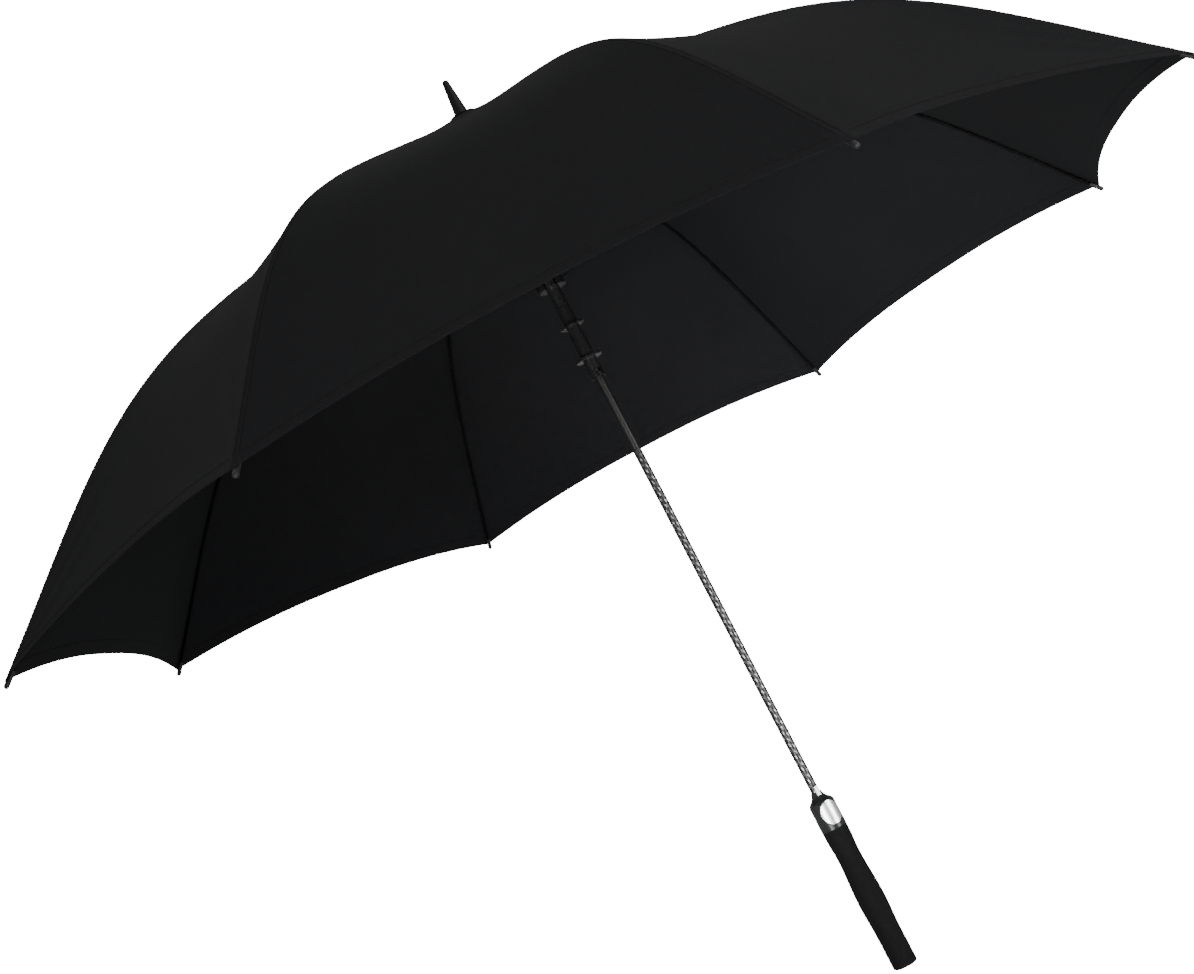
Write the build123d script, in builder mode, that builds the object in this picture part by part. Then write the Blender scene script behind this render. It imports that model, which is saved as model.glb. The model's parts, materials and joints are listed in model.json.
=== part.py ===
"""Golf umbrella, shown open: eight ribs, automatic opening, straight foam grip.

The origin is the centre of the handle's flat end face, and +Z runs up the shaft to the ferrule.
One rib points along -Y, the side that the push button faces. All lengths are in millimetres.
"""
from build123d import *
from math import atan2, cos, degrees, hypot, radians, sin
import os

# ---- driving dimensions -------------------------------------------------------------------
rib_count = 8
rib_step = 360 / rib_count
overall_height = 1015.0
rim_radius = 650.0

# Fabric over a rib, as (distance from the shaft axis, height), from the notch to the rim
canopy_profile = [
    (8.5, 973.4),
    (100.0, 943.0),
    (200.0, 917.0),
    (300.0, 889.0),
    (400.0, 848.0),
    (500.0, 776.0),
    (572.0, 707.0),
    (rim_radius, 629.0),
]
fabric_thickness = 0.9
panel_gap = 0.15
hem_inset = 16.0

shaft_radius = 4.5
shaft_bore = 3.7
shaft_bottom = 8.0
shaft_top = 984.0
slot_width = 2.4
slot_bottom = 224.0
slot_top = 701.4

ferrule_bottom = 970.4
ferrule_radius = 7.4
ferrule_tip_radius = 3.7
ferrule_foot = 4.0
washer_bore = 7.6
washer_radius = 15.0
washer_thickness = 1.0
washer_lift = 0.6
washer_bevel = 1.0

notch_radius = 12.5
notch_top = 970.0
notch_bottom = 958.5
notch_stem_radius = 8.0
notch_stem_bottom = 945.0
notch_slot_floor = 8.4
notch_slot_width = 2.0
notch_pin_height = 951.0
wire_radius = 0.45
wire_groove = 0.5
rib_pivot_radius = 11.0
rib_pivot_height = 966.0

rib_radius = 1.9
rib_drop = 4.0
rib_end_drop = 5.5
rib_tab_width = 1.6
rib_tab_half_height = 1.7
rib_tab_end = 24.0
rib_rod_start = 19.5
rib_rod_start_drop = 1.4
rib_tab_drop = 1.2
rib_tab_end_drop = 4.0
rib_end = 647.0
eye_radius = 0.62

rim_slope = -45.0
tip_radius = 2.6
tip_start = 639.0
tip_end = 651.5

joint_radius = 344.0
joint_height = 862.5
joint_slope = 20.0
joint_reach = 5.6
ear_width = 2.8
clamp_width = 5.0
clamp_length = 10.0
clamp_below = 2.4
clamp_above = 2.3
ear_radius = 2.4
ear_root = 3.6
ear_overlap = 2.0
rivet_radius = 0.9
rivet_clearance = 0.05
rivet_overhang = 0.6
rivet_head_radius = 1.7
rivet_head_gap = 0.1
rivet_head_height = 0.5

stretcher_pivot_radius = 12.2
stretcher_pivot_height = 775.0
stretcher_width = 4.4
stretcher_height = 4.0
stretcher_wall = 0.6
tongue_width = 1.6
tongue_half_height = 1.4
tongue_gap = 0.75
channel_start = 20.0
open_end_length = 16.0
cut_margin = 4.0
tongue_step = 0.1
tongue_ramp = 3.0

runner_bore = 4.55
runner_radius = 7.5
runner_bottom = 661.0
runner_top = 783.0
crown_bottom = 765.0
crown_radius = 15.3
crown_slot_floor = 9.6
crown_slot_width = 2.2
upper_flange_height = 722.0
upper_flange_radius = 13.0
lower_flange_height = 684.0
lower_flange_radius = 14.5
flange_thickness = 3.0
flange_bevel = 0.8
skirt_bore = 6.8
skirt_depth = 12.0
window_height = 668.0
window_width = 5.2
window_size = 4.0
key_height = 700.0
key_radius = 1.0
plunger_radius = 3.5
plunger_bottom = 690.0
plunger_top = 706.0

core_radius = 9.2
grip_top = 150.0
grip_end_radius = 12.9
grip_band_top = 34.0
grip_belly_radius = 14.2
grip_belly_height = 72.0
grip_waist_radius = 12.4
grip_waist_height = 127.0
grip_top_radius = 13.3
grip_flare_height = 143.0
grip_edge = 2.5
plug_height = 8.0
collar_radius = 13.4
collar_shoulder = 181.0
collar_top = 189.5
neck_radius = 5.6
collar_round_height = 6.0
collar_round_width = 2.9
collar_round_radius = 6.5
collar_flare_radius = 12.0

button_height = 166.5
button_half_width = 10.5
button_half_height = 12.5
button_clearance = 0.3
button_back = 9.2
button_crown_radius = 14.3
button_edge = 0.45
pocket_floor = 6.6
latch_width = 4.0
latch_front = 6.2
latch_back = 5.4
latch_bottom = 156.0
latch_top = 196.4
nose_bottom = 193.2
nose_reach = 7.3
nose_bevel = 1.0
latch_clearance = 0.3

handle_pin_height = 38.0
handle_pin_radius = 1.2
notch_pin_radius = 0.9
pin_recess = 0.3
spring_wire = 0.45
spring_radius = 2.7
spring_turns = 38
spring_gap = 0.1
button_spring_radius = 2.0
button_spring_wire = 0.3
button_spring_turns = 2.5
button_spring_margin = 0.45

os.makedirs("parts", exist_ok=True)


# ---- shared helpers -----------------------------------------------------------------------
def save(solid, name):
    """Label one finished solid and write it to its own file."""
    solid.label = name
    export_step(solid, f"parts/{name}.step")


def side_plane(azimuth):
    """The upright plane through the shaft axis: x runs outwards at this azimuth, y runs up."""
    angle = radians(azimuth)
    return Plane((0, 0, 0), x_dir=(cos(angle), sin(angle), 0), z_dir=(sin(angle), -cos(angle), 0))


def rib_azimuth(number):
    """Rib 1 points along -Y, and the numbers run anticlockwise seen from above."""
    return -90 + rib_step * (number - 1)


def on_slope(point, slope, along, across):
    """A point given along and across a line that leaves point at this slope, in degrees."""
    turn = radians(slope)
    x = point[0] + along * cos(turn) - across * sin(turn)
    y = point[1] + along * sin(turn) + across * cos(turn)
    return (x, y)


# ---- shaft and ferrule --------------------------------------------------------------------
with BuildPart() as shaft_tube:
    with BuildSketch(Plane.XY.offset(shaft_bottom)):
        Circle(shaft_radius)
        Circle(shaft_bore, mode=Mode.SUBTRACT)
    extrude(amount=shaft_top - shaft_bottom)
    # the slot that the runner key slides in, at the back
    with BuildSketch(Plane.XZ):
        with Locations((0, (slot_bottom + slot_top) / 2)):
            Rectangle(slot_width, slot_top - slot_bottom)
    extrude(amount=-2 * shaft_radius, mode=Mode.SUBTRACT)
    with BuildSketch(Plane.YZ):
        with Locations((0, handle_pin_height)):
            Circle(handle_pin_radius)
    extrude(amount=core_radius, both=True, mode=Mode.SUBTRACT)
    with BuildSketch(Plane.YZ):
        with Locations((0, notch_pin_height)):
            Circle(notch_pin_radius)
    extrude(amount=core_radius, both=True, mode=Mode.SUBTRACT)
save(shaft_tube.part, "shaft_tube")

with BuildPart() as ferrule:
    tip_centre = overall_height - ferrule_tip_radius
    with BuildSketch(Plane.XZ):
        with BuildLine():
            Line((shaft_radius, ferrule_bottom), (ferrule_radius, ferrule_bottom))
            Line((ferrule_radius, ferrule_bottom), (ferrule_radius, ferrule_bottom + ferrule_foot))
            Line((ferrule_radius, ferrule_bottom + ferrule_foot), (ferrule_tip_radius, tip_centre))
            RadiusArc((ferrule_tip_radius, tip_centre), (0, overall_height), -ferrule_tip_radius)
            Line((0, overall_height), (0, shaft_top))
            Line((0, shaft_top), (shaft_radius, shaft_top))
            Line((shaft_radius, shaft_top), (shaft_radius, ferrule_bottom))
        make_face()
    revolve(axis=Axis.Z)
save(ferrule.part, "ferrule")

with BuildPart() as canopy_washer:
    fabric_slope = (canopy_profile[1][1] - canopy_profile[0][1]) / (
        canopy_profile[1][0] - canopy_profile[0][0]
    )
    washer_inner = canopy_profile[0][1] + washer_lift
    washer_outer = washer_inner + fabric_slope * (washer_radius - washer_bore)
    with BuildSketch(Plane.XZ):
        with BuildLine():
            Polyline(
                (washer_bore, washer_inner),
                (washer_radius, washer_outer),
                (washer_radius, washer_outer + 0.5 * washer_thickness),
                (washer_radius - washer_bevel, washer_outer + washer_thickness),
                (washer_bore, washer_inner + washer_thickness),
                close=True,
            )
        make_face()
    revolve(axis=Axis.Z)
save(canopy_washer.part, "canopy_washer")

# ---- top notch: the hub that the ribs hinge in --------------------------------------------
with BuildPart() as top_notch:
    with BuildSketch(Plane.XY.offset(notch_stem_bottom)):
        Circle(notch_stem_radius)
    extrude(amount=notch_bottom - notch_stem_bottom)
    with BuildSketch(Plane.XY.offset(notch_bottom)):
        Circle(notch_radius)
    extrude(amount=notch_top - notch_bottom)
    with BuildSketch(Plane.XY.offset(notch_stem_bottom)):
        Circle(shaft_radius)
    extrude(amount=notch_top - notch_stem_bottom, mode=Mode.SUBTRACT)
    for number in range(1, rib_count + 1):
        with BuildSketch(side_plane(rib_azimuth(number))):
            with Locations((notch_slot_floor + notch_radius / 2, notch_top)):
                Rectangle(notch_radius, 3 * notch_radius)
        extrude(amount=notch_slot_width / 2, both=True, mode=Mode.SUBTRACT)
    with BuildSketch(Plane.XZ):
        with Locations((rib_pivot_radius, rib_pivot_height)):
            Circle(wire_groove)
    revolve(axis=Axis.Z, mode=Mode.SUBTRACT)
    with BuildSketch(Plane.YZ):
        with Locations((0, notch_pin_height)):
            Circle(notch_pin_radius)
    extrude(amount=notch_stem_radius, both=True, mode=Mode.SUBTRACT)
save(top_notch.part, "top_notch")

with BuildPart() as notch_wire:
    with BuildSketch(Plane.XZ):
        with Locations((rib_pivot_radius, rib_pivot_height)):
            Circle(wire_radius)
    revolve(axis=Axis.Z)
save(notch_wire.part, "notch_wire")

with BuildPart() as notch_pin:
    with BuildSketch(Plane.YZ):
        with Locations((0, notch_pin_height)):
            Circle(notch_pin_radius)
    extrude(amount=notch_stem_radius - pin_recess, both=True)
save(notch_pin.part, "notch_pin")

# ---- runner -------------------------------------------------------------------------------
with BuildPart() as runner:
    with BuildSketch(Plane.XY.offset(runner_bottom)):
        Circle(runner_radius)
    extrude(amount=runner_top - runner_bottom)
    with BuildSketch(Plane.XY.offset(crown_bottom)):
        Circle(crown_radius)
    extrude(amount=runner_top - crown_bottom)
    for height, radius in (
        (upper_flange_height, upper_flange_radius),
        (lower_flange_height, lower_flange_radius),
    ):
        with BuildSketch(Plane.XY.offset(height - flange_thickness / 2)):
            Circle(radius)
        extrude(amount=flange_thickness)
    rims = runner.edges().filter_by(GeomType.CIRCLE).filter_by(lambda rim: rim.radius > crown_slot_floor)
    chamfer(rims, length=flange_bevel)
    # the stretcher slots, which also notch the upper flange
    for number in range(1, rib_count + 1):
        with BuildSketch(side_plane(rib_azimuth(number))):
            with Locations((crown_slot_floor + crown_radius / 2, crown_bottom)):
                Rectangle(crown_radius, 2 * (crown_bottom - upper_flange_height) + 4 * flange_thickness)
        extrude(amount=crown_slot_width / 2, both=True, mode=Mode.SUBTRACT)
    with BuildSketch(Plane.XZ):
        with Locations((stretcher_pivot_radius, stretcher_pivot_height)):
            Circle(wire_groove)
    revolve(axis=Axis.Z, mode=Mode.SUBTRACT)
    with BuildSketch(Plane.XY.offset(runner_bottom)):
        Circle(runner_bore)
    extrude(amount=runner_top - runner_bottom, mode=Mode.SUBTRACT)
    with BuildSketch(Plane.XY.offset(runner_bottom)):
        Circle(skirt_bore)
    extrude(amount=skirt_depth, mode=Mode.SUBTRACT)
    # the window that the latch nose snaps into, at the front
    with BuildSketch(Plane.XZ):
        with Locations((0, window_height)):
            Rectangle(window_width, window_size)
    extrude(amount=crown_radius, mode=Mode.SUBTRACT)
    with BuildSketch(Plane.XZ):
        with Locations((0, key_height)):
            Circle(key_radius)
    extrude(amount=-runner_radius, mode=Mode.SUBTRACT)
save(runner.part, "runner")

with BuildPart() as runner_wire:
    with BuildSketch(Plane.XZ):
        with Locations((stretcher_pivot_radius, stretcher_pivot_height)):
            Circle(wire_radius)
    revolve(axis=Axis.Z)
save(runner_wire.part, "runner_wire")

with BuildPart() as plunger:
    with BuildSketch(Plane.XY.offset(plunger_bottom)):
        Circle(plunger_radius)
    extrude(amount=plunger_top - plunger_bottom)
    with BuildSketch(Plane.XZ):
        with Locations((0, key_height)):
            Circle(key_radius)
    extrude(amount=-plunger_radius, mode=Mode.SUBTRACT)
save(plunger.part, "plunger")

with BuildPart() as runner_key:
    with BuildSketch(Plane.XZ):
        with Locations((0, key_height)):
            Circle(key_radius)
    extrude(amount=-(runner_radius - pin_recess))
save(runner_key.part, "runner_key")

# ---- opening spring, inside the shaft -----------------------------------------------------
spring_bottom = handle_pin_height + handle_pin_radius + spring_wire + spring_gap
spring_length = plunger_bottom - spring_wire - spring_gap - spring_bottom
with BuildPart() as opening_spring:
    with BuildLine(Plane.XY.offset(spring_bottom)):
        coil = Helix(pitch=spring_length / spring_turns, height=spring_length, radius=spring_radius)
    with BuildSketch(Plane(origin=coil @ 0, z_dir=coil % 0)):
        Circle(spring_wire)
    sweep(is_frenet=True)
save(opening_spring.part, "opening_spring")

# ---- handle -------------------------------------------------------------------------------
with BuildPart() as handle_core:
    with BuildSketch(Plane.XY.offset(plug_height)):
        Circle(core_radius)
        Circle(shaft_radius, mode=Mode.SUBTRACT)
    extrude(amount=grip_top - plug_height)
    with BuildSketch(Plane.YZ):
        with Locations((0, handle_pin_height)):
            Circle(handle_pin_radius)
    extrude(amount=core_radius, both=True, mode=Mode.SUBTRACT)
save(handle_core.part, "handle_core")

with BuildPart() as end_plug:
    with BuildSketch(Plane.XY):
        Circle(core_radius)
    extrude(amount=plug_height)
save(end_plug.part, "end_plug")

with BuildPart() as handle_pin:
    with BuildSketch(Plane.YZ):
        with Locations((0, handle_pin_height)):
            Circle(handle_pin_radius)
    extrude(amount=core_radius - pin_recess, both=True)
save(handle_pin.part, "handle_pin")

with BuildPart() as foam_grip:
    with BuildSketch(Plane.XZ):
        with BuildLine():
            Line((core_radius, 0), (grip_end_radius - grip_edge, 0))
            RadiusArc((grip_end_radius - grip_edge, 0), (grip_end_radius, grip_edge), -grip_edge)
            Line((grip_end_radius, grip_edge), (grip_end_radius, grip_band_top))
            Spline(
                (grip_end_radius, grip_band_top),
                (grip_belly_radius, grip_belly_height),
                (grip_waist_radius, grip_waist_height),
                (grip_top_radius, grip_flare_height),
                tangents=((0, 1), (0, 1)),
            )
            Line((grip_top_radius, grip_flare_height), (grip_top_radius, grip_top))
            Line((grip_top_radius, grip_top), (core_radius, grip_top))
            Line((core_radius, grip_top), (core_radius, 0))
        make_face()
    revolve(axis=Axis.Z)
save(foam_grip.part, "foam_grip")

with BuildPart() as handle_collar:
    round_start = (collar_radius, collar_shoulder - collar_round_height)
    round_end = (collar_radius - collar_round_width, collar_shoulder)
    with BuildSketch(Plane.XZ):
        with BuildLine():
            Line((shaft_radius, grip_top), (collar_radius, grip_top))
            Line((collar_radius, grip_top), round_start)
            RadiusArc(round_start, round_end, -collar_round_radius)
            RadiusArc(round_end, (neck_radius, collar_top), collar_flare_radius)
            Line((neck_radius, collar_top), (shaft_radius, collar_top))
            Line((shaft_radius, collar_top), (shaft_radius, grip_top))
        make_face()
    revolve(axis=Axis.Z)
    # the oval pocket of the push button, then the slot that the latch stands in
    with BuildSketch(Plane.XZ.offset(pocket_floor)):
        with Locations((0, button_height)):
            Ellipse(button_half_width + button_clearance, button_half_height + button_clearance)
    extrude(amount=2 * collar_radius, mode=Mode.SUBTRACT)
    with BuildSketch(Plane.XY.offset(latch_bottom - latch_clearance)):
        with Locations((0, -pocket_floor / 2)):
            Rectangle(latch_width + 2 * latch_clearance, pocket_floor)
    extrude(amount=collar_top, mode=Mode.SUBTRACT)
save(handle_collar.part, "handle_collar")

with BuildPart() as push_button:
    with BuildSketch(Plane.XZ.offset(button_back)):
        with Locations((0, button_height)):
            Ellipse(button_half_width, button_half_height)
    extrude(amount=collar_radius)
    with BuildSketch(Plane.XY):
        Circle(button_crown_radius)
    extrude(amount=collar_top + button_half_height, mode=Mode.INTERSECT)
    front_face = push_button.faces().filter_by(GeomType.CYLINDER).sort_by(Axis.Y)[0]
    fillet(front_face.edges(), radius=button_edge)
save(push_button.part, "push_button")

with BuildPart() as latch:
    with BuildSketch(Plane.XY.offset(latch_bottom)):
        with Locations((0, -(latch_front + latch_back) / 2)):
            Rectangle(latch_width, latch_front - latch_back)
    extrude(amount=latch_top - latch_bottom)
    with BuildSketch(Plane.XY.offset(nose_bottom)):
        with Locations((0, -(nose_reach + latch_back) / 2)):
            Rectangle(latch_width, nose_reach - latch_back)
    extrude(amount=latch_top - nose_bottom)
    nose_edge = latch.edges().filter_by(Axis.X).sort_by(Axis.Z).group_by(Axis.Z)[-1].sort_by(Axis.Y)[0]
    chamfer(nose_edge, length=nose_bevel)
save(latch.part, "latch")

button_spring_start = -(latch_front + button_spring_margin)
button_spring_length = button_back - latch_front - 2 * button_spring_margin
with BuildPart() as button_spring:
    with BuildLine():
        coil = Helix(
            pitch=button_spring_length / button_spring_turns,
            height=button_spring_length,
            radius=button_spring_radius,
            center=(0, button_spring_start, button_height),
            direction=(0, -1, 0),
        )
    with BuildSketch(Plane(origin=coil @ 0, z_dir=coil % 0)):
        Circle(button_spring_wire)
    sweep(is_frenet=True)
save(button_spring.part, "button_spring")

# ---- ribs, stretchers and canopy ----------------------------------------------------------
rib_joint_point = (joint_radius, joint_height)
stretcher_pivot = (stretcher_pivot_radius, stretcher_pivot_height)
stretcher_rise = joint_height - stretcher_pivot_height
stretcher_run = joint_radius - stretcher_pivot_radius
stretcher_length = hypot(stretcher_run, stretcher_rise)
stretcher_slope = degrees(atan2(stretcher_rise, stretcher_run))
rod_start = (rib_rod_start, rib_pivot_height - rib_rod_start_drop)
rod_middle = [(radius, height - rib_drop) for radius, height in canopy_profile[1:-1]]
rod_end = (rib_end, canopy_profile[-1][1] - rib_end_drop + rim_radius - rib_end)

for number in range(1, rib_count + 1):
    azimuth = rib_azimuth(number)
    plane = side_plane(azimuth)

    with BuildPart() as rib:
        with BuildLine(plane):
            rod_line = Spline(rod_start, *rod_middle, rod_end)
        with BuildSketch(Plane(origin=rod_line @ 0, z_dir=rod_line % 0)):
            Circle(rib_radius)
        sweep()
        # the flat tab at the notch, with the eye that the ring wire runs through
        with BuildSketch(plane):
            with BuildLine():
                Polyline(
                    (rib_pivot_radius, rib_pivot_height + rib_tab_half_height),
                    (rib_rod_start, rib_pivot_height + rib_tab_half_height - rib_tab_drop),
                    (rib_tab_end, rib_pivot_height - rib_tab_drop),
                    (rib_tab_end, rib_pivot_height - rib_tab_end_drop),
                    (rib_rod_start, rib_pivot_height - rib_tab_half_height - rib_tab_drop),
                    (rib_pivot_radius, rib_pivot_height - rib_tab_half_height),
                    close=True,
                )
            make_face()
            with Locations((rib_pivot_radius, rib_pivot_height)):
                Circle(rib_tab_half_height)
        extrude(amount=rib_tab_width / 2, both=True)
        with BuildSketch(plane):
            with Locations((rib_pivot_radius, rib_pivot_height)):
                Circle(eye_radius)
        extrude(amount=rib_tab_width, both=True, mode=Mode.SUBTRACT)
    save(rib.part, f"rib_{number}")

    with BuildPart() as rib_tip:
        tip_length = (tip_end - tip_start) / cos(radians(rim_slope)) - tip_radius
        start = on_slope(rod_end, rim_slope, (tip_start - rib_end) / cos(radians(rim_slope)), 0)
        finish = on_slope(start, rim_slope, tip_length, 0)
        with BuildLine(plane):
            tip_line = Line(start, finish)
        with BuildSketch(Plane(origin=tip_line @ 0, z_dir=tip_line % 0)):
            Circle(tip_radius)
        extrude(amount=tip_length)
        with Locations(Plane(origin=tip_line @ 1)):
            Sphere(tip_radius)
        add(rib.part, mode=Mode.SUBTRACT)
    save(rib_tip.part, f"rib_tip_{number}")

    with BuildPart() as rib_joint:
        with BuildSketch(plane):
            with BuildLine():
                Polyline(
                    on_slope(rib_joint_point, -joint_slope, -clamp_length / 2, joint_reach - clamp_below),
                    on_slope(rib_joint_point, -joint_slope, clamp_length / 2, joint_reach - clamp_below),
                    on_slope(rib_joint_point, -joint_slope, clamp_length / 2, joint_reach + clamp_above),
                    on_slope(rib_joint_point, -joint_slope, -clamp_length / 2, joint_reach + clamp_above),
                    close=True,
                )
            make_face()
        extrude(amount=clamp_width / 2, both=True)
        with BuildSketch(plane):
            with BuildLine():
                Polyline(
                    on_slope(rib_joint_point, -joint_slope, -ear_radius, 0),
                    on_slope(rib_joint_point, -joint_slope, ear_radius, 0),
                    on_slope(rib_joint_point, -joint_slope, ear_root, joint_reach - ear_overlap),
                    on_slope(rib_joint_point, -joint_slope, -ear_root, joint_reach - ear_overlap),
                    close=True,
                )
            make_face()
            with Locations(rib_joint_point):
                Circle(ear_radius)
        extrude(amount=ear_width / 2, both=True)
        with BuildSketch(plane):
            with Locations(rib_joint_point):
                Circle(rivet_radius)
        extrude(amount=stretcher_width / 2 + rivet_overhang, both=True)
        for side in (-1, 1):
            with BuildSketch(plane.offset(side * (stretcher_width / 2 + rivet_head_gap))):
                with Locations(rib_joint_point):
                    Circle(rivet_head_radius)
            extrude(amount=side * rivet_head_height)
        add(rib.part, mode=Mode.SUBTRACT)
    save(rib_joint.part, f"rib_joint_{number}")

    with BuildPart() as stretcher:
        half_height = stretcher_height / 2
        with BuildSketch(plane):
            with BuildLine():
                Polyline(
                    on_slope(stretcher_pivot, stretcher_slope, channel_start, -half_height),
                    on_slope(stretcher_pivot, stretcher_slope, stretcher_length, -half_height),
                    on_slope(stretcher_pivot, stretcher_slope, stretcher_length, half_height),
                    on_slope(stretcher_pivot, stretcher_slope, channel_start, half_height),
                    close=True,
                )
            make_face()
            with Locations(rib_joint_point):
                Circle(ear_radius)
        extrude(amount=stretcher_width / 2, both=True)
        # the channel is open downwards near the runner and right through at the rib joint
        inner_width = stretcher_width - 2 * stretcher_wall
        near = channel_start - cut_margin
        far = stretcher_length + cut_margin
        open_end = stretcher_length - open_end_length
        outside = half_height + cut_margin
        roof = half_height - stretcher_wall
        with BuildSketch(plane):
            with BuildLine():
                Polyline(
                    on_slope(stretcher_pivot, stretcher_slope, near, -outside),
                    on_slope(stretcher_pivot, stretcher_slope, far, -outside),
                    on_slope(stretcher_pivot, stretcher_slope, far, outside),
                    on_slope(stretcher_pivot, stretcher_slope, open_end, outside),
                    on_slope(stretcher_pivot, stretcher_slope, open_end, roof),
                    on_slope(stretcher_pivot, stretcher_slope, near, roof),
                    close=True,
                )
            make_face()
        extrude(amount=inner_width / 2, both=True, mode=Mode.SUBTRACT)
        with BuildSketch(plane):
            with Locations(rib_joint_point):
                Circle(rivet_radius + rivet_clearance)
        extrude(amount=stretcher_width, both=True, mode=Mode.SUBTRACT)
        # the tongue that stands in the runner's slot, rounded at its end
        tongue_end = on_slope(stretcher_pivot, stretcher_slope, tongue_gap + tongue_half_height, 0)
        with BuildSketch(plane):
            with BuildLine():
                Polyline(
                    on_slope(tongue_end, stretcher_slope, 0, -tongue_half_height),
                    on_slope(tongue_end, stretcher_slope, 2 * channel_start, -tongue_half_height),
                    on_slope(tongue_end, stretcher_slope, 2 * channel_start, half_height - tongue_step),
                    on_slope(tongue_end, stretcher_slope, channel_start, half_height - tongue_step),
                    on_slope(tongue_end, stretcher_slope, channel_start - tongue_ramp, tongue_half_height),
                    on_slope(tongue_end, stretcher_slope, 0, tongue_half_height),
                    close=True,
                )
            make_face()
            with Locations(tongue_end):
                Circle(tongue_half_height)
        extrude(amount=tongue_width / 2, both=True)
    save(stretcher.part, f"stretcher_{number}")

    # one strip of canopy per rib: the halves of its two gores, which meet over the rib
    half_step = rib_step / 2
    flat_scale = cos(radians(half_step))
    with BuildPart() as canopy_panel:
        for side in (-1, 1):
            gore_azimuth = azimuth + side * half_step
            top = [(radius * flat_scale, height) for radius, height in canopy_profile]
            below = [(x, y - fabric_thickness) for x, y in reversed(top)]
            with BuildPart(mode=Mode.PRIVATE) as half_gore:
                with BuildSketch(side_plane(gore_azimuth)):
                    with BuildLine():
                        Spline(*top)
                        Line(top[-1], below[0])
                        Spline(*below)
                        Line(below[-1], top[0])
                    make_face()
                extrude(amount=rim_radius, both=True)
                # plan outline: from the rib line to the middle of the gore, less the gap
                gore = Plane.XY.rotated((0, 0, gore_azimuth))
                rib_corner = (rim_radius * flat_scale, -side * rim_radius * sin(radians(half_step)))
                inner_corner = (
                    canopy_profile[0][0] * flat_scale,
                    -side * canopy_profile[0][0] * sin(radians(half_step)),
                )
                other_corner = (rib_corner[0], -rib_corner[1])
                mid_hem = (rib_corner[0] - hem_inset, 0)
                with BuildSketch(gore):
                    with BuildLine():
                        ThreePointArc(rib_corner, mid_hem, other_corner)
                        Polyline(other_corner, (0, 0), rib_corner)
                    make_face()
                    Circle(canopy_profile[0][0], mode=Mode.SUBTRACT)
                    with Locations((rim_radius / 2, side * (rim_radius / 2 - panel_gap))):
                        Rectangle(2 * rim_radius, rim_radius, mode=Mode.SUBTRACT)
                extrude(amount=overall_height, mode=Mode.INTERSECT)
            add(half_gore.part)
    save(canopy_panel.part, f"canopy_panel_{number}")
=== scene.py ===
# %% [markdown]
# # A golf umbrella, open
# The engineering model comes in first, as a fixed frame: shaft, ribs, stretchers, runner and
# handle, each on the body that it moves with. This lesson then gives it its looks. The cloth is
# made here, because a sewn, stretched canopy is something a solid model can only stand in for.

# %% Load the frame
import json
import math

import bmesh
import bpy
import numpy as np
from mathutils import Matrix, Vector


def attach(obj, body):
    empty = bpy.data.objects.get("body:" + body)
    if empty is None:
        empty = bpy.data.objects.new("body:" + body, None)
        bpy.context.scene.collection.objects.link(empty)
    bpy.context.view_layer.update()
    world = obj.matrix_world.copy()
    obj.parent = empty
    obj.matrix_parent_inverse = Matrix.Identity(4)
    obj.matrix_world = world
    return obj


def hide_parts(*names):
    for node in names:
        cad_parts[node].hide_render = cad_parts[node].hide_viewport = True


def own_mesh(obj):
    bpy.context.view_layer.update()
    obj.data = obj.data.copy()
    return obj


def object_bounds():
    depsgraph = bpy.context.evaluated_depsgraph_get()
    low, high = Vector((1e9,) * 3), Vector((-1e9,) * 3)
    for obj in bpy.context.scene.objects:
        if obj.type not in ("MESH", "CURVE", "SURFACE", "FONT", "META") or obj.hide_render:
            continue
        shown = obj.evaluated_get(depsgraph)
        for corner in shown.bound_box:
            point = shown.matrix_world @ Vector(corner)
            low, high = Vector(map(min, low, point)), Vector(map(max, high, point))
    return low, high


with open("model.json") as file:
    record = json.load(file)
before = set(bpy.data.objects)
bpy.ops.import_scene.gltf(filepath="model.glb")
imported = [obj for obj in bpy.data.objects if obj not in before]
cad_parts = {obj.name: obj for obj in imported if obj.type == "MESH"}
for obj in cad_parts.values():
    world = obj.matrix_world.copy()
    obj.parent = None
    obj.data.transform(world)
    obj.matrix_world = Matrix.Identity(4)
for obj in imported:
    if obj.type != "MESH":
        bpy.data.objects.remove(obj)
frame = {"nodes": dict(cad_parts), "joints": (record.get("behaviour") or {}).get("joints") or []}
nodes = frame["nodes"]
joints = {joint["name"]: joint for joint in frame["joints"]}
cad_low, cad_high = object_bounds()
print("engineering box:", [round(x, 4) for x in (*cad_low, *cad_high)])

# %% [markdown]
# ## Where the ribs are
# Each rib hinges on the notch at the top of the shaft. The hinge's own place says which
# way its rib points, so nothing has to be typed twice. The top line of the cloth over a rib is
# read from the stand-in canopy: its corner points are taken and a smooth curve is put through them.

# %% Rib directions and the cloth's line over a rib
RIBS = 8
STEP = 2 * math.pi / RIBS
HALF = STEP / 2
FIT_DEGREE = 9
FIT_ROUNDS = 6
FIT_SLACK = 0.0003
rib_angle = {}
for number in range(1, RIBS + 1):
    hinge = joints[f"rib_hinge_{number}"]
    rib_angle[number] = math.atan2(hinge["pos_m"][1], hinge["pos_m"][0])


def outward(angle):
    """The level direction at this angle round the shaft."""
    return Vector((math.cos(angle), math.sin(angle), 0))


def sideways(angle):
    """The level direction square to it, anticlockwise from above."""
    return Vector((-math.sin(angle), math.cos(angle), 0))


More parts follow.
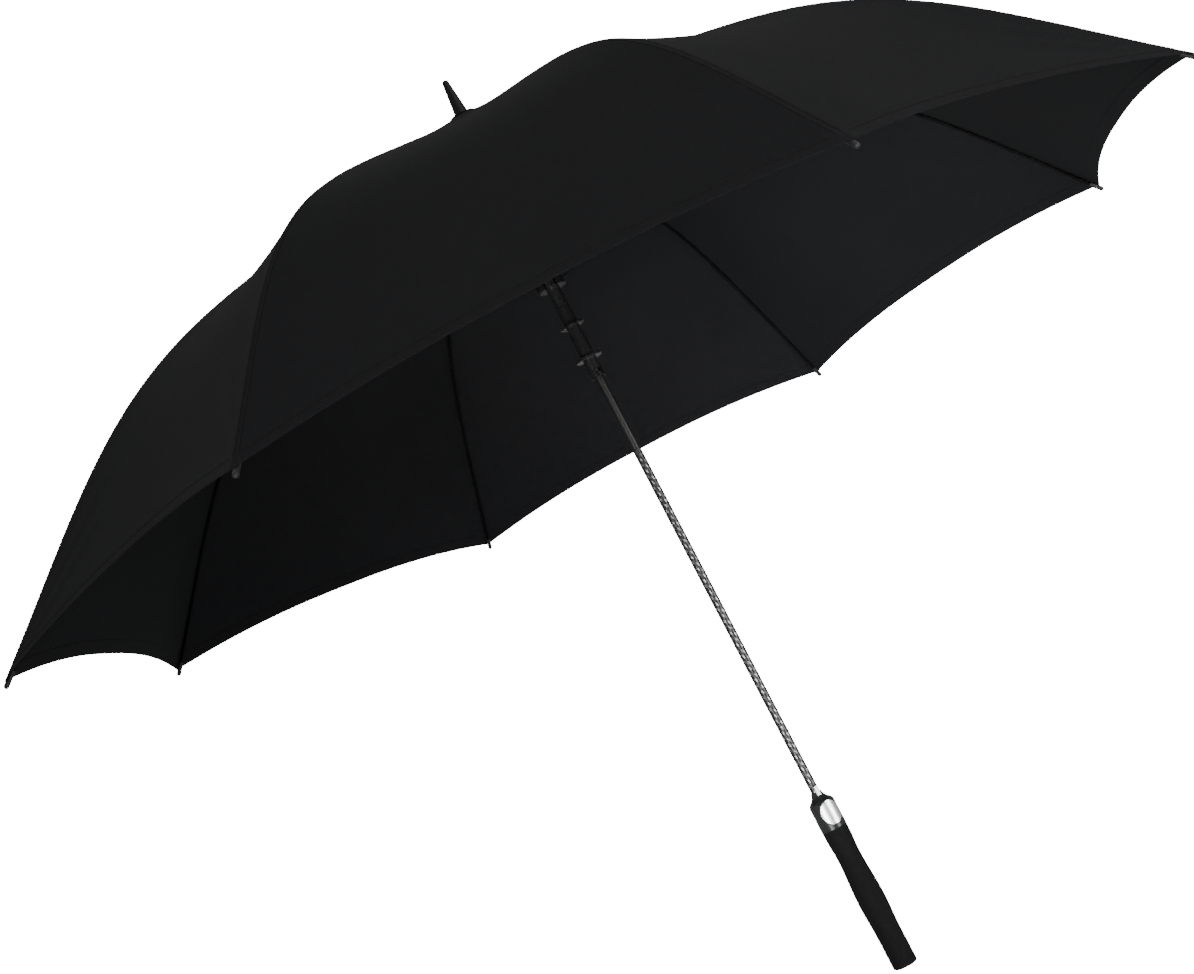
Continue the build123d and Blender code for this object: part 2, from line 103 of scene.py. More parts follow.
along, across = outward(rib_angle[1]), sideways(rib_angle[1])
ridge = {}
for vertex in nodes["canopy_panel_1"].data.vertices:
    if abs(vertex.co.dot(across)) < 1e-5:
        ridge.setdefault(round(vertex.co.dot(along), 4), []).append(vertex.co.z)
radii = np.array(sorted(ridge))
heights = np.array([max(ridge[r]) for r in radii])
line_fit = np.polynomial.Polynomial.fit(radii, heights, FIT_DEGREE)
for _ in range(FIT_ROUNDS):
    upper = heights > line_fit(radii) - FIT_SLACK
    line_fit = np.polynomial.Polynomial.fit(radii[upper], heights[upper], FIT_DEGREE)
RIM = float(radii.max())
print("cloth over a rib:", len(radii), "points, rim at", round(RIM, 4))
largest_miss = float(abs(line_fit(radii[upper]) - heights[upper]).max())
print("largest miss of the curve, mm:", round(1000 * largest_miss, 3))

# %% [markdown]
# ## The camera
# A camera from below the rim looks up past the near hem into the canopy. It is rolled, so that
# the shaft leans to the right, and the lens is a normal one, so the near tips look larger.

# %% Camera
CAMERA_PLACE = Vector((-0.69399, -1.78654, 0.34923))
CAMERA_RIGHT = Vector((0.85262, -0.25245, -0.45751)).normalized()
CAMERA_AHEAD = Vector((0.33632, 0.93522, 0.11072)).normalized()
camera_up = CAMERA_RIGHT.cross(CAMERA_AHEAD).normalized()
camera_right = CAMERA_AHEAD.cross(camera_up).normalized()
turn = Matrix((camera_right, camera_up, -CAMERA_AHEAD)).transposed()
camera_data = bpy.data.cameras.new("camera")
camera = bpy.data.objects.new("camera", camera_data)
bpy.context.scene.collection.objects.link(camera)
camera.matrix_world = Matrix.Translation(CAMERA_PLACE) @ turn.to_4x4()
camera_data.sensor_width = 36
camera_data.lens = 57.09
camera_data.shift_x = -0.0034
camera_data.shift_y = -0.0025
bpy.context.scene.camera = camera
print("camera looks along", [round(x, 3) for x in CAMERA_AHEAD])

# %% [markdown]
# ## A pale studio
# Black cloth needs light from broad sources, or it turns into a hole. Here the whole surround
# glows: most overhead, less from the sides and least from below, so the inside of the canopy
# stays darker than its outside. A large soft key from the front right and a weak one from low
# on the left, under the canopy, give the panels their steps of grey. A broad low lamp at the
# front right brings out the shaft's weave and the bright button. To the camera itself the
# surround and the floor are one even white, so the black outline stands clear, as in a
# catalogue. The floor is clear from underneath, so the inside can be looked at from below.

# %% Floor, surround and lamps
FLOOR_RADIUS = 9
FLOOR_BELOW = 0.001
BACKDROP = 20.0
OVERHEAD = 0.95
LEVEL = 0.26
BELOW = 0.32


def paint(name):
    """A new material with a clear node tree, and its shader and output."""
    material = bpy.data.materials.new(name)
    material.use_nodes = True
    tree = material.node_tree
    tree.nodes.clear()
    out = tree.nodes.new("ShaderNodeOutputMaterial")
    shader = tree.nodes.new("ShaderNodeBsdfPrincipled")
    tree.links.new(shader.outputs[0], out.inputs[0])
    return material, tree, shader


def clear_selection():
    """Nothing is selected or active when a new piece is started."""
    bpy.ops.object.select_all(action="DESELECT")


clear_selection()
bpy.ops.mesh.primitive_circle_add(
    vertices=96, radius=FLOOR_RADIUS, fill_type="NGON", location=(0, 0, -FLOOR_BELOW)
)
floor = bpy.context.object
floor.name = "floor"
floor_material, floor_tree, floor_shader = paint("pale_floor")
floor_shader.inputs["Base Color"].default_value = (0, 0, 0, 1)
floor_shader.inputs["Specular IOR Level"].default_value = 0
floor_shader.inputs["Emission Color"].default_value = (1, 1, 1, 1)
floor_shader.inputs["Emission Strength"].default_value = BACKDROP
floor.data.materials.append(floor_material)
one_way = floor_tree.nodes.new("ShaderNodeMixShader")
clear = floor_tree.nodes.new("ShaderNodeBsdfTransparent")
facing = floor_tree.nodes.new("ShaderNodeNewGeometry")
floor_tree.links.new(facing.outputs["Backfacing"], one_way.inputs[0])
floor_tree.links.new(floor_shader.outputs[0], one_way.inputs[1])
floor_tree.links.new(clear.outputs[0], one_way.inputs[2])
floor_tree.links.new(one_way.outputs[0], floor_tree.nodes["Material Output"].inputs[0])
floor.visible_diffuse = False
floor.visible_glossy = False
floor.visible_transmission = False
floor.visible_shadow = False

world = bpy.data.worlds.new("surround")
world.use_nodes = True
air = world.node_tree
glow = air.nodes["Background"]
glow.inputs[0].default_value = (1, 1, 1, 1)
upward = air.nodes.new("ShaderNodeSeparateXYZ")
air.links.new(air.nodes.new("ShaderNodeTexCoord").outputs["Generated"], upward.inputs[0])
shade = air.nodes.new("ShaderNodeFloatCurve")
curve = shade.mapping.curves[0]
shade.mapping.clip_max_y = OVERHEAD
curve.points[0].location = (0, BELOW)
curve.points[1].location = (1, OVERHEAD)
curve.points.new(0.46, BELOW)
curve.points.new(0.56, LEVEL)
shade.mapping.update()
half_up = air.nodes.new("ShaderNodeMapRange")
half_up.inputs["From Min"].default_value = -1
air.links.new(upward.outputs[2], half_up.inputs[0])
air.links.new(half_up.outputs[0], shade.inputs["Value"])
seen = air.nodes.new("ShaderNodeMix")
seen.inputs[3].default_value = BACKDROP
air.links.new(air.nodes.new("ShaderNodeLightPath").outputs["Is Camera Ray"], seen.inputs[0])
air.links.new(shade.outputs[0], seen.inputs[2])
air.links.new(seen.outputs[0], glow.inputs[1])
bpy.context.scene.world = world


def soft_lamp(name, place, target, size, watts, spread=180):
    """One square studio lamp, aimed at a point."""
    data = bpy.data.lights.new(name, "AREA")
    data.shape = "SQUARE"
    data.size = size
    data.energy = watts
    data.spread = math.radians(spread)
    lamp = bpy.data.objects.new(name, data)
    bpy.context.scene.collection.objects.link(lamp)
    lamp.location = place
    lamp.rotation_euler = (Vector(target) - Vector(place)).to_track_quat("-Z", "Y").to_euler()
    lamp.visible_camera = False
    return lamp


canopy_middle = (0, 0, 0.75 * cad_high.z)
soft_lamp("key", (1.5, -2.9, 2.4), canopy_middle, 1.6, 24)
soft_lamp("front", (1.3, -2.2, 0.2), (0, 0, 0.2), 1.2, 11, spread=80)
soft_lamp("under", (-0.5, -0.9, 0.05), (0.6, 0.35, 0.72), 0.8, 5, spread=50)

# %% [markdown]
# ## The cut of the canopy
# The canopy is sewn from eight gores, and each gore reaches from one rib to the next. Between
# two ribs the cloth is pulled straight, and because the ribs arch it sinks a little below the
# straight line. Its free edge, the hem, is pulled into a shallow curve. When the umbrella is
# folded the cloth goes with the ribs, so it is made as eight strips, each one a rib's cloth as
# far as the middle of the gores on both sides. The middle of a gore is level across, so
# neighbouring strips meet there with the same slope and no line shows.

# %% One point of the cloth
HEM_INSET = 0.016
HEM_POWER = 2.5
SINK = 0.010
CLOTH = 0.0004
CENTRE = 0.014
INNER_EDGE = 0.0085
BOW_SKEW = 1.15
ROWS = 120
SIDE_COLUMNS = 30


def cloth_line(radius):
    """Height of the cloth's top over a rib."""
    return float(line_fit(max(radius, INNER_EDGE)))


def cloth_slope(radius):
    """Slope of that line."""
    return (cloth_line(radius + 0.001) - cloth_line(radius - 0.001)) / 0.002


def hem_radius(share):
    """How far the hem lies out, from 0 at the rib to 1 in the middle of the gore."""
    inset = HEM_INSET * (1 - (1 - share) ** HEM_POWER)
    return RIM - inset / math.cos(HALF)


def cloth_point(number, side, share, down):
    """A point of strip number: side -1 or 1, share 0 at the rib to 1 at mid-gore, down 0 to 1."""
    gore = rib_angle[number] + side * HALF
    radius = CENTRE + down * (hem_radius(share) - CENTRE)
    slope = cloth_slope(radius)
    bow = math.sin(math.pi * down**BOW_SKEW) * (1 - (1 - share) ** 2)
    depth = SINK * bow
    level = radius * math.cos(HALF) + depth * slope / math.hypot(1, slope)
    beside = -side * (1 - share) * radius * math.sin(HALF)
    height = cloth_line(radius) - depth / math.hypot(1, slope)
    return outward(gore) * level + sideways(gore) * beside + Vector((0, 0, height))


# %% [markdown]
# ## Seam and hem
# Where two gores are sewn together the seam draws the cloth in, so a narrow groove runs down
# over each rib with a slight swelling on both sides. Near the rib tips the cloth is pulled into
# shallow tension folds. Both are shaped into the strip, by moving points along the cloth's own
# normal. The hem, the edge folded over and stitched, is a band that stands a little proud on the
# inside; it is made further on.

# %% Seam groove, swelling and tip folds
SEAM_HALF_WIDTH = 0.0016
SEAM_DEPTH = 0.0010
SWELL_WIDTH = 0.008
SWELL = 0.0003
TIP_FOLDS = 0.0007
TIP_REACH = 0.17
FOLDS_AT_TIP = 7
BESIDE = 0.004
SEAM_STARTS = 0.06


def relief(number, side, share, down):
    """How far the cloth stands out of its smooth surface at this point."""
    radius = CENTRE + down * (hem_radius(share) - CENTRE)
    beside = share * radius * math.sin(HALF)
    fade = min(1, radius / SEAM_STARTS)
    groove = -SEAM_DEPTH * math.exp(-((beside / SEAM_HALF_WIDTH) ** 2))
    swell = SWELL * math.exp(-(((beside - SWELL_WIDTH) / SWELL_WIDTH) ** 2))
    from_tip = math.hypot(RIM - radius, beside)
    angle = math.atan2(beside, max(RIM - radius, 1e-6))
    folds = math.sin(FOLDS_AT_TIP * angle) ** 2 * math.sin(math.pi * min(1, from_tip / TIP_REACH))
    inside = share * (1 - share) * 4
    pull = -TIP_FOLDS * folds * inside if from_tip < TIP_REACH else 0.0
    return fade * (groove + swell) + pull


def column_shares():
    """Columns from the rib to mid-gore, closer together at the seam."""
    even = np.linspace(0, 1, SIDE_COLUMNS)
    return [float(x) for x in even**1.9]


def row_shares():
    """Rows from the centre to the hem, closer together at the hem."""
    even = np.linspace(0, 1, ROWS)
    return [float(x) for x in 1 - (1 - even) ** 1.25]


def strip_mesh(number):
    """The strip's surface as a grid of points, with a flat map in metres."""
    shares, downs = column_shares(), row_shares()
    columns = [(-1, s) for s in reversed(shares[1:])] + [(1, s) for s in shares]
    points, flat = [], []
    for down in downs:
        for side, share in columns:
            here = cloth_point(number, side, share, down)
            next_down = cloth_point(number, side, share, down + BESIDE)
            next_side = cloth_point(number, side, min(1, share + BESIDE), down)
            if share > 1 - BESIDE:
                next_side = here + (here - cloth_point(number, side, share - BESIDE, down))
            normal = side * (next_side - here).cross(next_down - here)
            normal.normalize()
            if normal.z < 0:
                normal.negate()
            # at mid-gore the normal has no sideways part, so neighbours agree exactly
            if share == 1:
                gore = sideways(rib_angle[number] + side * HALF)
                normal = (normal - gore * normal.dot(gore)).normalized()
            points.append(here + normal * relief(number, side, share, down))
            reach = down * (RIM - CENTRE)
            flat.append((side * share * (CENTRE + reach) * math.sin(HALF), reach))
    width = len(columns)
    faces = [
        (r * width + c, r * width + c + 1, (r + 1) * width + c + 1, (r + 1) * width + c)
        for r in range(len(downs) - 1)
        for c in range(width - 1)
    ]
    mesh = bpy.data.meshes.new(f"canopy_strip_{number}")
    mesh.from_pydata(points, [], faces)
    layer = mesh.uv_layers.new(name="cloth")
    for loop in mesh.loops:
        layer.data[loop.index].uv = flat[loop.vertex_index]
    return mesh


def apply_modifier(piece, name):
    """Makes one modifier part of the mesh."""
    clear_selection()
    bpy.context.view_layer.objects.active = piece
    piece.select_set(True)
    bpy.ops.object.modifier_apply(modifier=name)
    piece.select_set(False)


def smooth_faces(piece, angle=40):
    """Smooth shading, except over edges sharper than this."""
    clear_selection()
    bpy.context.view_layer.objects.active = piece
    piece.select_set(True)
    bpy.ops.object.shade_smooth_by_angle(angle=math.radians(angle))
    piece.select_set(False)


def up_facing(piece):
    """Turns the faces so that they all face up or outwards."""
    shape = bmesh.new()
    shape.from_mesh(piece.data)
    for face in shape.faces:
        if face.normal.z < 0:
            face.normal_flip()
    shape.to_mesh(piece.data)
    shape.free()


strips = {}
for number in range(1, RIBS + 1):
    mesh = strip_mesh(number)
    strip = bpy.data.objects.new(f"canopy_strip_{number}", mesh)
    bpy.context.scene.collection.objects.link(strip)
    up_facing(strip)
    thicken = strip.modifiers.new("cloth", "SOLIDIFY")
    thicken.thickness = CLOTH
    thicken.offset = -1
    thicken.use_even_offset = True
    apply_modifier(strip, "cloth")
    smooth_faces(strip)
    strips[number] = strip

# %% [markdown]
# ## Black pongee
# The cloth is a close plain weave of fine polyester yarn with a water-repelling finish. Seen
# from afar it is an even charcoal with a soft sheen at grazing angles, and close up its two
# yarn directions show. The weave is drawn on the strip's flat map, so it follows the cloth.

# %% Cloth material
YARN = 0.00045


def value_node(tree, operation, first, second=None):
    """A math node fed by sockets or plain numbers."""
    node = tree.nodes.new("ShaderNodeMath")
    node.operation = operation
    for socket, source in zip(node.inputs, (first, second)):
        if source is None:
            continue
        if hasattr(source, "is_output"):
            tree.links.new(source, socket)
        else:
            socket.default_value = source
    return node.outputs[0]


def blended(tree, first, second, share):
    """A mix of two greys, with this share of the first."""
    part = value_node(tree, "MULTIPLY", first, share)
    rest = value_node(tree, "MULTIPLY", second, 1 - share)
    return value_node(tree, "ADD", part, rest)


def noise_node(tree, vector, scale, detail=2.0):
    """A noise texture's grey output."""
    node = tree.nodes.new("ShaderNodeTexNoise")
    node.inputs["Scale"].default_value = scale
    node.inputs["Detail"].default_value = detail
    node.inputs["Roughness"].default_value = 0.5
    tree.links.new(vector, node.inputs["Vector"])
    return node.outputs[0]


def ramp_node(tree, source, stops):
    """A colour ramp with (position, grey or colour) stops."""
    node = tree.nodes.new("ShaderNodeValToRGB")
    ramp = node.color_ramp
    while len(ramp.elements) < len(stops):
        ramp.elements.new(0.5)
    for element, (position, colour) in zip(ramp.elements, stops):
        element.position = position
        if not hasattr(colour, "__len__"):
            colour = (colour, colour, colour)
        element.color = (*colour, 1)
    tree.links.new(source, node.inputs[0])
    return node.outputs[0]


def bump_node(tree, shader, height, strength, distance):
    """Fine relief from a height."""
    node = tree.nodes.new("ShaderNodeBump")
    node.inputs["Strength"].default_value = strength
    node.inputs["Distance"].default_value = distance
    tree.links.new(height, node.inputs["Height"])
    tree.links.new(node.outputs[0], shader.inputs["Normal"])


def object_place(tree):
    """Object coordinates, and their three parts."""
    place = tree.nodes.new("ShaderNodeTexCoord").outputs["Object"]
    parts = tree.nodes.new("ShaderNodeSeparateXYZ")
    tree.links.new(place, parts.inputs[0])
    return place, parts.outputs


def make_cloth(name, dark, light):
    """Pongee of a given darkness."""
    material, tree, shader = paint(name)
    uv = tree.nodes.new("ShaderNodeUVMap")
    uv.uv_map = "cloth"
    parts = tree.nodes.new("ShaderNodeSeparateXYZ")
    tree.links.new(uv.outputs[0], parts.inputs[0])
    yarns = []
    for way in parts.outputs[:2]:
        turn = value_node(tree, "MULTIPLY", way, 2 * math.pi / YARN)
        yarns.append(value_node(tree, "SINE", turn))
    weave = value_node(tree, "MULTIPLY", *yarns)
    place, _ = object_place(tree)
    slub = noise_node(tree, uv.outputs[0], 420, 3)
    broad = noise_node(tree, place, 5, 4)
    mixed = blended(tree, slub, broad, 0.35)
    tree.links.new(ramp_node(tree, mixed, [(0.3, dark), (0.7, light)]), shader.inputs["Base Color"])
    tree.links.new(ramp_node(tree, slub, [(0.2, 0.66), (0.8, 0.78)]), shader.inputs["Roughness"])
    shader.inputs["Sheen Weight"].default_value = 0.006
    shader.inputs["Sheen Roughness"].default_value = 0.5
    shader.inputs["Specular IOR Level"].default_value = 0.05
    height = value_node(tree, "ADD", weave, value_node(tree, "MULTIPLY", slub, 1.5))
    bump_node(tree, shader, height, 0.25, 0.00008)
    return material


cloth_black = make_cloth("black_pongee", (0.0072, 0.0074, 0.0082), (0.0098, 0.0100, 0.0110))
for strip in strips.values():
    strip.data.materials.append(cloth_black)
print("cloth material nodes:", len(cloth_black.node_tree.nodes))

# %% [markdown]
# ## Stitching
# Two rows of thread run down each seam, and one row runs round the hem. Each visible stitch is
# a short rounded dash of thread that lies on the cloth. It is modelled once, as a bead with a
# few faces and drawn-in ends, and copied along the lines.

# %% Stitches along seam and hem
STITCH = 0.0028
STITCH_PITCH = 0.0042
THREAD = 0.00012
SEAM_ROW = 0.0030
HEM_ROW = 0.009
NEARBY = 0.002


def stitch_shape():
    """The corners and faces of one stitch, lying along x."""
    clear_selection()
    bpy.ops.mesh.primitive_cylinder_add(
        vertices=6, radius=THREAD, depth=STITCH, rotation=(0, math.pi / 2, 0)
    )
    bead = bpy.context.object
    bpy.ops.object.transform_apply(location=True, rotation=True, scale=True)
    bpy.ops.object.mode_set(mode="EDIT")
    bpy.ops.mesh.select_all(action="DESELECT")
    bpy.ops.object.mode_set(mode="OBJECT")
    for face in bead.data.polygons:
        face.select = abs(face.normal.x) > 0.9
    bpy.ops.object.mode_set(mode="EDIT")
    bpy.ops.mesh.inset(thickness=THREAD * 0.45, depth=THREAD * 0.8)
    bpy.ops.object.mode_set(mode="OBJECT")
    corners = [v.co.copy() for v in bead.data.vertices]
    faces = [tuple(f.vertices) for f in bead.data.polygons]
    bpy.data.objects.remove(bead)
    return corners, faces


bead_corners, bead_faces = stitch_shape()


def stitch_row(name, path):
    """Stitches along a list of (point, normal) pairs, as one mesh."""
    points, faces = [], []
    run = 0.0
    for (a, normal), (b, _) in zip(path, path[1:]):
        length = (b - a).length
        while run < length:
            x = (b - a).normalized()
            z = (normal - x * normal.dot(x)).normalized()
            y = z.cross(x)
            middle = a + x * run + z * THREAD * 0.2
            start = len(points)
            points += [middle + x * c.x + y * c.y + z * c.z for c in bead_corners]
            faces += [tuple(start + i for i in f) for f in bead_faces]
            run += STITCH_PITCH
        run -= length
    mesh = bpy.data.meshes.new(name)
    mesh.from_pydata(points, [], faces)
    piece = bpy.data.objects.new(name, mesh)
    bpy.context.scene.collection.objects.link(piece)
    return piece


def surface_point(number, side, share, down, lift=0.0):
    """A point on the finished cloth and its normal."""
    here = cloth_point(number, side, share, down)
    lower = cloth_point(number, side, share, min(1, down + NEARBY))
    upper = cloth_point(number, side, share, down - NEARBY)
    far = cloth_point(number, side, min(1, share + NEARBY), down)
    near = cloth_point(number, side, share - NEARBY, down)
    normal = (lower - upper).cross(far - near).normalized()
    if normal.z < 0:
        normal.negate()
    return here + normal * (relief(number, side, share, down) + lift), normal


def share_at(radius, beside):
    """The share across the gore that lies this far beside the rib."""
    return min(1.0, beside / (radius * math.sin(HALF)))


seam_rows, hem_rows = {}, {}
for number in range(1, RIBS + 1):
    rows = []
    for side in (-1, 1):
        path = []
        for down in np.linspace(0.03, 0.985, 170):
            radius = CENTRE + down * (RIM - CENTRE)
            path.append(surface_point(number, side, share_at(radius, SEAM_ROW), float(down)))
        rows.append(stitch_row(f"seam_row_{number}_{side}", path))
    clear_selection()
    for row in rows:
        row.select_set(True)
    bpy.context.view_layer.objects.active = rows[0]
    bpy.ops.object.join()
    seam_rows[number] = rows[0]
    seam_rows[number].name = f"seam_stitches_{number}"
    path = []
    for side, shares in ((-1, np.linspace(0.985, 0.04, 60)), (1, np.linspace(0.04, 0.985, 60))):
        for share in shares:
            down = 1 - HEM_ROW / (hem_radius(float(share)) - CENTRE)
            path.append(surface_point(number, side, float(share), down))
    hem_rows[number] = stitch_row(f"hem_stitches_{number}", path)
print("stitch faces in one seam:", len(seam_rows[1].data.polygons))

# %% Thread material
thread_black, tree, shader = paint("black_thread")
place, _ = object_place(tree)
twist = noise_node(tree, place, 2600, 2)
tree.links.new(ramp_node(tree, twist, [(0.3, 0.005), (0.7, 0.008)]), shader.inputs["Base Color"])
shader.inputs["Roughness"].default_value = 0.8
shader.inputs["Specular IOR Level"].default_value = 0.05
bump_node(tree, shader, twist, 0.3, 0.0001)
for row in (*seam_rows.values(), *hem_rows.values()):
    row.data.materials.append(thread_black)
print("thread material done")

# %% [markdown]
# ## Folded hem
# The hem is a narrow band of cloth turned under. It is a strip of its own on the inside of the
# canopy's edge, as thick as the cloth, and it rides with its strip.

# %% Hem bands
HEM_WIDTH = 0.011
HEM_PUFF = 0.00008
hem_bands = {}
for number in range(1, RIBS + 1):
    points, faces, flat = [], [], []
    shares = [(-1, s) for s in np.linspace(1, 0, 40)] + [(1, s) for s in np.linspace(0, 1, 40)[1:]]
    band_rows = (0.0, 0.25, 0.5, 0.75, 1.0)
    for side, share in shares:
        for part in band_rows:
            share = float(share)
            down = 1 - part * HEM_WIDTH / (hem_radius(share) - CENTRE)
            lift = -CLOTH - HEM_PUFF * math.sin(math.pi * part)
            point, _ = surface_point(number, side, min(share, 0.9999), down, lift)
            points.append(point)
            flat.append((side * share * RIM * math.sin(HALF), -part * HEM_WIDTH))
    count = len(band_rows)
    for i in range(len(shares) - 1):
        for j in range(count - 1):
            a = i * count + j
            faces.append((a, a + 1, a + count + 1, a + count))
    mesh = bpy.data.meshes.new(f"hem_band_{number}")
    mesh.from_pydata(points, [], faces)
    layer = mesh.uv_layers.new(name="cloth")
    for loop in mesh.loops:
        layer.data[loop.index].uv = flat[loop.vertex_index]
    band = bpy.data.objects.new(f"hem_band_{number}", mesh)
    bpy.context.scene.collection.objects.link(band)
    up_facing(band)
    thicken = band.modifiers.new("cloth", "SOLIDIFY")
    thicken.thickness = CLOTH
    thicken.offset = -1
    apply_modifier(band, "cloth")
    smooth_faces(band)
    band.data.materials.append(cloth_black)
    hem_bands[number] = band
print("hem bands:", len(hem_bands))

# %% [markdown]
# ## How the cloth rides
# Every strip rides on its own rib, and so do its hem band, its hem stitches and the seam
# stitches beside it. The stand-in canopy panels are hidden. The strips keep their open shape:
# nothing here flattens them towards their rib as the umbrella closes.

# %% Ride
for number in range(1, RIBS + 1):
    for piece in (strips[number], hem_bands[number], hem_rows[number]):
        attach(piece, f"rib_{number}")
        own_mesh(piece)
    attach(seam_rows[number], f"rib_{number}")
    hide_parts(f"canopy_panel_{number}")

# %% [markdown]
# ## The shaft's woven look
# The tube has a layer of carbon-style cloth under clear lacquer. The yarns run on the slant, so
# light and dark patches step round the tube in a twill. The pattern wraps on the angle round
# the shaft and the height along it. From just below the hem's height upwards, where the tube runs
# inside the canopy up to the runner, the weave is painted nearly black: painted shade of the
# canopy.

# %% Carbon weave
def round_shaft(tree):
    """The angle round the shaft, in turns, and the height."""
    _, parts = object_place(tree)
    angle = value_node(tree, "ARCTAN2", parts[1], parts[0])
    return value_node(tree, "DIVIDE", angle, 2 * math.pi), parts[2]


carbon, tree, shader = paint("carbon_weave")
turns, height = round_shaft(tree)
TOWS_ROUND = 8
TOW_LENGTH = 0.0082
LEAN = 10.0
ROW_SHIFT = 0.37
# painted shade: the weave dims from the lower of these two heights and reaches about a third of its
# brightness at the upper one, where the tube runs in the canopy's shadow
PAINTED_SHADE_FULL_AT = 0.595
PAINTED_SHADE_START_AT = 0.555
leaning = value_node(tree, "ADD", turns, value_node(tree, "MULTIPLY", height, LEAN))
across_tows = value_node(tree, "MULTIPLY", leaning, TOWS_ROUND)
row = value_node(tree, "FLOOR", across_tows)
row_shift = value_node(tree, "MULTIPLY", row, ROW_SHIFT)
along_tow = value_node(tree, "ADD", value_node(tree, "DIVIDE", height, TOW_LENGTH), row_shift)
place, _ = object_place(tree)
fibres = noise_node(tree, place, 1500, 2)
waves = []
for way in (across_tows, along_tow):
    turn_share = value_node(tree, "MULTIPLY", value_node(tree, "FRACT", way), math.pi)
    waves.append(value_node(tree, "SINE", turn_share))
hump = value_node(tree, "MULTIPLY", *waves)
# painted shade of the canopy on the tube: the weave's brightness falls to 0.35 with height
bright = tree.nodes.new("ShaderNodeMapRange")
bright.interpolation_type = "SMOOTHSTEP"
bright.inputs["From Min"].default_value = PAINTED_SHADE_FULL_AT
bright.inputs["From Max"].default_value = PAINTED_SHADE_START_AT
bright.inputs["To Min"].default_value = 0.35
tree.links.new(height, bright.inputs["Value"])
grain = value_node(tree, "MULTIPLY", value_node(tree, "SUBTRACT", fibres, 0.5), 0.5)
tow = value_node(tree, "MULTIPLY", value_node(tree, "ADD", hump, grain), bright.outputs[0])
tow_greys = [(0.0, 0.004), (0.5, 0.008), (0.7, 0.12), (0.98, 0.42)]
tree.links.new(ramp_node(tree, tow, tow_greys), shader.inputs["Base Color"])
tree.links.new(ramp_node(tree, tow, [(0.3, 0.1), (0.6, 0.9)]), shader.inputs["Metallic"])
tree.links.new(ramp_node(tree, fibres, [(0.3, 0.3), (0.7, 0.45)]), shader.inputs["Roughness"])
shader.inputs["Coat Weight"].default_value = 0.15
shader.inputs["Coat Roughness"].default_value = 0.1
bump_node(tree, shader, hump, 0.1, 0.0001)
print("tow length, mm:", TOW_LENGTH * 1000, "tows round:", TOWS_ROUND)

# %% [markdown]
# ## Plastics, foam and metals
# Moulded black plastic is never quite even: it has a fine spark-eroded grain and small changes
# of gloss. The grip is a closed-cell foam with a skin full of tiny pits. The button is bright
# plated plastic, and the wires, pins and springs are bright steel.

# %% One maker for the plain finishes
def make_finish(name, dark, light, rough, metal=0.0, grain=900.0, depth=0.00003, shine=0.3):
    """A moulded, painted or plated finish with grain, colour variation and uneven gloss."""
    material, tree, shader = paint(name)
    place, _ = object_place(tree)
    fine = noise_node(tree, place, grain, 3)
    broad = noise_node(tree, place, 35, 3)
    mixed = blended(tree, fine, broad, 0.4)
    tree.links.new(ramp_node(tree, mixed, [(0.3, dark), (0.7, light)]), shader.inputs["Base Color"])
    low, high = rough
    tree.links.new(ramp_node(tree, mixed, [(0.25, low), (0.75, high)]), shader.inputs["Roughness"])
    shader.inputs["Metallic"].default_value = metal
    shader.inputs["Specular IOR Level"].default_value = 0.5 if metal else shine
    bump_node(tree, shader, fine, 0.3, depth)
    return material


black_plastic = make_finish("black_plastic", 0.006, 0.010, (0.2, 0.32), depth=0.00004)
ferrule_black = make_finish("ferrule_black", 0.005, 0.009, (0.5, 0.65))
grey_plastic = make_finish(
    "grey_plastic", (0.014, 0.015, 0.0148), (0.022, 0.024, 0.0234), (0.16, 0.26)
)
tip_plastic = make_finish(
    "tip_plastic", (0.009, 0.0095, 0.0105), (0.015, 0.0155, 0.017), (0.4, 0.55)
)
fibreglass = make_finish("fibreglass_rod", 0.002, 0.004, (0.6, 0.75), grain=1500, shine=0.06)
black_steel = make_finish("black_painted_steel", 0.004, 0.007, (0.4, 0.52), shine=0.2)
bright_steel = make_finish("bright_steel", 0.35, 0.5, (0.22, 0.35), metal=1.0, grain=2500)
white_nylon = make_finish("white_nylon", 0.6, 0.7, (0.4, 0.5))
plated = make_finish(
    "plated_silver", 0.92, 1.0, (0.26, 0.36), metal=1.0, grain=300, depth=0.00001
)

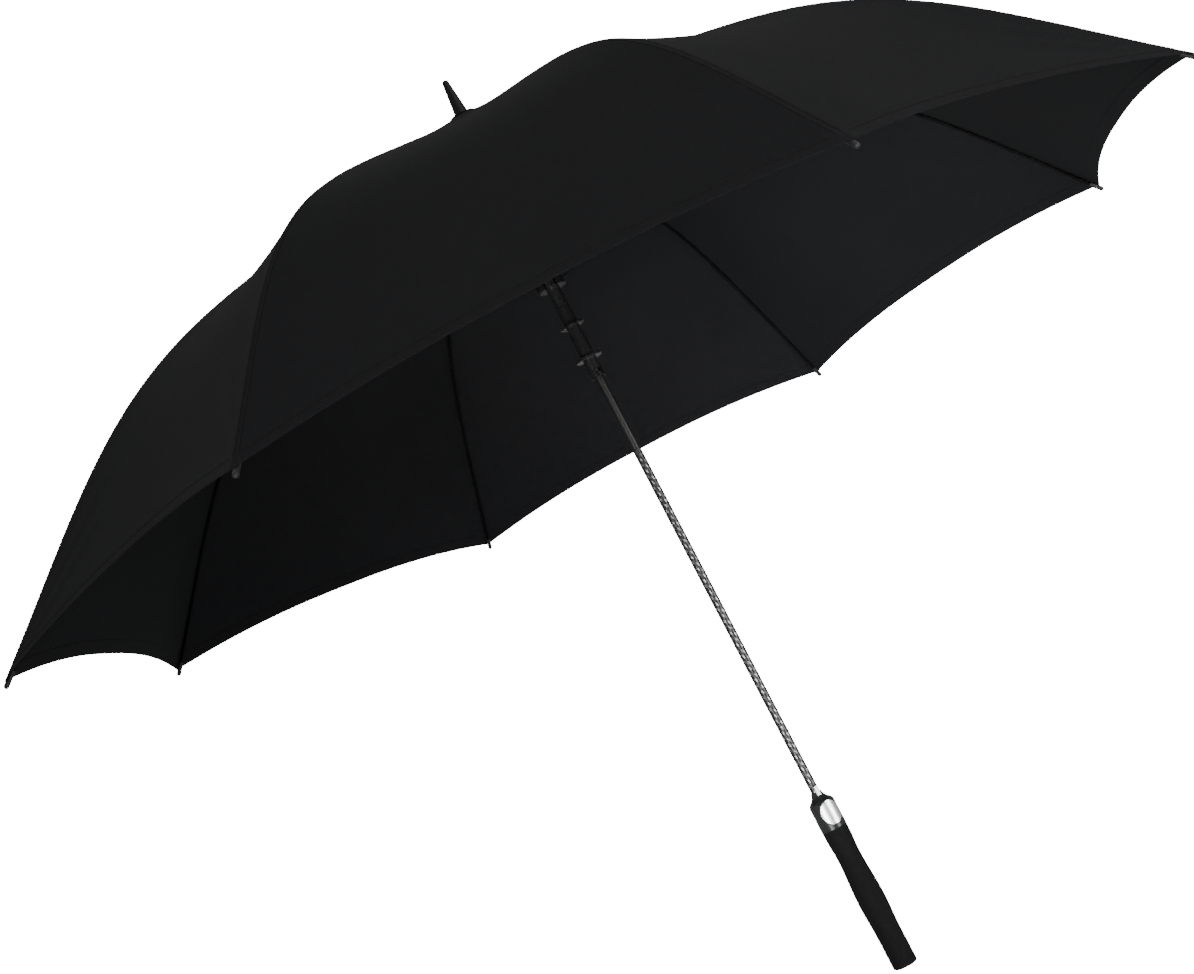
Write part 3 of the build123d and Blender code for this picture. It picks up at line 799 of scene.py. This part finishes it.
grip_foam, tree, shader = paint("grip_foam")
place, _ = object_place(tree)
cells = tree.nodes.new("ShaderNodeTexVoronoi")
cells.inputs["Scale"].default_value = 1300
tree.links.new(place, cells.inputs["Vector"])
cloudy = noise_node(tree, place, 60, 4)
tree.links.new(ramp_node(tree, cloudy, [(0.3, 0.0030), (0.7, 0.0046)]), shader.inputs["Base Color"])
tree.links.new(ramp_node(tree, cloudy, [(0.3, 0.78), (0.7, 0.9)]), shader.inputs["Roughness"])
shader.inputs["Specular IOR Level"].default_value = 0.14
bump_node(tree, shader, cells.outputs["Distance"], 0.35, 0.0003)

finish_of = {
    "shaft_tube": carbon, "ferrule": ferrule_black, "canopy_washer": ferrule_black,
    "top_notch": black_plastic, "runner": black_plastic, "plunger": white_nylon,
    "notch_wire": bright_steel, "notch_pin": bright_steel, "handle_pin": bright_steel,
    "runner_wire": bright_steel, "runner_key": bright_steel, "opening_spring": bright_steel,
    "button_spring": bright_steel, "latch": bright_steel, "handle_core": black_plastic,
    "end_plug": black_plastic, "foam_grip": grip_foam, "handle_collar": grey_plastic,
    "push_button": plated,
}
for number in range(1, RIBS + 1):
    finish_of[f"rib_{number}"] = fibreglass
    finish_of[f"rib_tip_{number}"] = tip_plastic
    finish_of[f"rib_joint_{number}"] = black_plastic
    finish_of[f"stretcher_{number}"] = black_steel
for name, material in finish_of.items():
    data = nodes[name].data
    data.materials.clear()
    data.materials.append(material)
print("finished engineering parts:", len(finish_of))

# %% [markdown]
# ## Springs
# A coil spring keeps one end still while its other end goes with the part that pushes it. Each
# spring is copied from the engineering one, and its loose triangles are merged into a closed wire.
# The copy rides whole on one body and keeps its length. The opening spring stands on its foot
# inside the shaft and rides on the root body. The button spring rides with the button, both ends
# alike.

# %% Springs
def closed_copy(name):
    """A copy of an engineering part as one closed mesh, which then stands for it."""
    part = bpy.data.objects.new(f"{name}_wire", nodes[name].data.copy())
    bpy.context.scene.collection.objects.link(part)
    clear_selection()
    bpy.context.view_layer.objects.active = part
    part.select_set(True)
    bpy.ops.object.mode_set(mode="EDIT")
    bpy.ops.mesh.select_all(action="SELECT")
    bpy.ops.mesh.remove_doubles(threshold=1e-6)
    bpy.ops.object.mode_set(mode="OBJECT")
    smooth_faces(part)
    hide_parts(name)
    return part


shaft_spring = closed_copy("opening_spring")
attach(shaft_spring, "root")
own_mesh(shaft_spring)
push_spring = closed_copy("button_spring")
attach(push_spring, "push_button")
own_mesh(push_spring)
